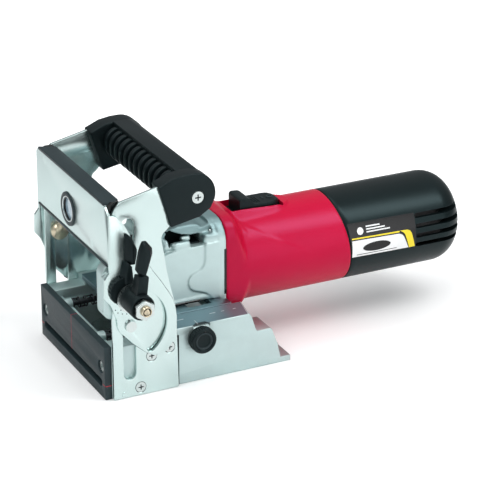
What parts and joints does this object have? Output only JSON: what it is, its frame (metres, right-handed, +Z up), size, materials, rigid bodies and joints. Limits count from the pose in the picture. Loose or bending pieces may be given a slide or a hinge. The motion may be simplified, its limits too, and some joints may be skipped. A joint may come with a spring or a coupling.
{
  "type": "plate joiner",
  "caption": "Hand-held plate joiner: red and black motor grip plunging on a metal base, tilting fence with clamp levers, side-plate frame and black front handle.",
  "frame": {"origin": "on the base underside in the tool's middle plane, straight below the spindle axis when the motor unit is pulled back", "axes": "+Z up from the base underside; -Y is the work face and the plunge direction, +Y the motor; +X the side with the clamp levers and the depth knob"},
  "size_m": [0.1671, 0.3103, 0.1585],
  "materials": {
    "cast": "fine-blasted die-cast aluminium",
    "sheet": "bright zinc-plated sheet steel",
    "black": "fine-textured black nylon",
    "face": "satin black anodised plate",
    "red": "semi-gloss crimson plastic",
    "steel": "machined steel",
    "zinc": "yellow zinc-plated steel",
    "copper": "enamelled copper and brass",
    "carbon": "pressed carbon",
    "lens": "clear sight disc in a plain ring"
  },
  "bodies": {
    "base": {"base_housing": "cast", "base_plate": "steel", "base_screws": "steel", "front_face_plate": "face", "side_plate_left": "sheet", "side_plate_right": "sheet", "side_plate_screws": "steel", "front_handle": "black", "handle_screws": "steel", "spring_rods": "steel", "return_springs": "steel"},
    "depth_dial": {"depth_knob": "black", "depth_stop_turret": "steel"},
    "motor_unit": {"slide_plate": "cast", "depth_stop_screw": "steel", "bearing_neck": "cast", "gear_housing": "cast", "housing_screws": "steel", "motor_housing": "red", "rear_cover": "black", "baffle": "black", "stator": "steel", "field_windings": "copper", "brush_holders": "copper", "carbon_brushes": "carbon", "front_bearing": "steel", "rear_bearing": "steel", "upper_bearing": "steel", "lower_bearing": "steel", "switch_block": "black", "cable_inlet": "black", "lock_spring": "steel"},
    "armature": {"armature_shaft": "steel", "armature_core": "steel", "armature_winding": "copper", "commutator": "copper", "cooling_fan": "black", "pinion": "steel"},
    "cutter": {"spindle": "steel", "bevel_gear": "steel", "inner_flange": "steel", "blade": "steel", "blade_nut": "steel"},
    "thumb_switch": {"switch_slider": "black"},
    "spindle_lock": {"spindle_lock_button": "black"},
    "carriage": {"carriage_block": "cast", "carriage_bridge": "cast", "slide_keys": "steel", "pivot_pins": "steel", "clamp_studs": "zinc", "lever_washer": "steel", "stud_nuts": "steel"},
    "fence": {"fence_plate": "sheet", "fence_top_strip": "black", "fence_bottom_strip": "black", "sight_window": "lens"},
    "height_lever": {"height_lock_lever": "black"},
    "tilt_lever": {"tilt_lock_lever": "black"}
  },
  "joints": [
    {"name": "plunge", "type": "slide", "parent": "base", "child": "motor_unit", "axis": [0, -1, 0], "range_m": [0, 0.02], "stiffness_N_per_m": 400, "springref_m": -0.02, "deforming": ["return_springs"]},
    {"name": "fence_height", "type": "slide", "parent": "base", "child": "carriage", "axis": [0, 0, 1], "range_m": [-0.02, 0.018]},
    {"name": "fence_tilt", "type": "hinge", "parent": "carriage", "child": "fence", "pos_m": [0, -0.0401, 0.0555], "axis": [1, 0, 0], "range_deg": [0, 135]},
    {"name": "height_lever_turn", "type": "hinge", "parent": "carriage", "child": "height_lever", "pos_m": [0.068, -0.0415, 0.07946], "axis": [1, 0, 0], "range_deg": [-75, 0]},
    {"name": "tilt_lever_turn", "type": "hinge", "parent": "carriage", "child": "tilt_lever", "pos_m": [0.08, -0.0415, 0.07946], "axis": [1, 0, 0], "range_deg": [-75, 0]},
    {"name": "depth_dial_turn", "type": "hinge", "parent": "base", "child": "depth_dial", "pos_m": [0.06, 0.0145, 0.033], "axis": [1, 0, 0], "continuous": true},
    {"name": "spindle_spin", "type": "hinge", "parent": "motor_unit", "child": "cutter", "pos_m": [0, 0, 0.03], "axis": [0, 0, 1], "continuous": true},
    {"name": "armature_spin", "type": "hinge", "parent": "motor_unit", "child": "armature", "pos_m": [0, 0.0925, 0.064], "axis": [0, 1, 0], "continuous": true},
    {"name": "switch_slide", "type": "slide", "parent": "motor_unit", "child": "thumb_switch", "axis": [0, -1, 0], "range_m": [0, 0.006]},
    {"name": "spindle_lock_press", "type": "slide", "parent": "motor_unit", "child": "spindle_lock", "axis": [0, 0, -1], "range_m": [0, 0.003], "stiffness_N_per_m": 300, "springref_m": -0.002, "deforming": ["lock_spring"]}
  ],
  "couplings": [
    {"joint": "armature_spin", "follows": "spindle_spin", "ratio": 3}
  ]
}
